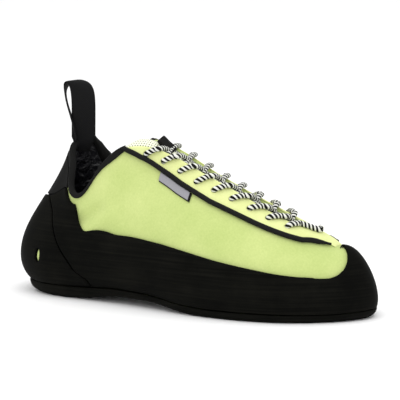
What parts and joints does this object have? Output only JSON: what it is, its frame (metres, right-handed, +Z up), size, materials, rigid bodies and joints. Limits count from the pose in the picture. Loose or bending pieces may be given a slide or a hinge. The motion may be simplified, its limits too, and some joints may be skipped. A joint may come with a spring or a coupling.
{
  "type": "climbing shoe",
  "caption": "Right-foot lace-up climbing shoe with a rubber sole, wrapped toe and heel, hollow fabric upper, crossed laces and a heel pull loop.",
  "frame": {"origin": "on the floor, below the middle of the shoe's bounding box", "axes": "+X to the toe, +Y to the inner (medial) side, +Z up"},
  "size_m": [0.2541, 0.0868, 0.142],
  "materials": {
    "rubber": "matte black rubber with fine buffing lines",
    "lime_fabric": "soft brushed lime synthetic",
    "lime_band": "smooth light lime synthetic",
    "black_binding": "black tape binding and piping",
    "black_webbing": "black webbing and mesh",
    "pale_mesh": "pale perforated mesh",
    "striped_cord": "black and white braided cord",
    "insole_board": "dark insole sock"
  },
  "bodies": {
    "root": {"outsole": "rubber", "rand": "rubber", "heel_cup": "rubber", "upper": "lime_fabric", "heel_collar": "black_webbing", "eyestay": "lime_band", "piping_lateral": "black_binding", "piping_medial": "black_binding", "collar_binding": "black_binding", "tongue": "pale_mesh", "tongue_tab": "black_webbing", "insole": "insole_board", "laces": "striped_cord", "pull_loop": "black_webbing", "side_label": "pale_mesh"}
  },
  "joints": []
}
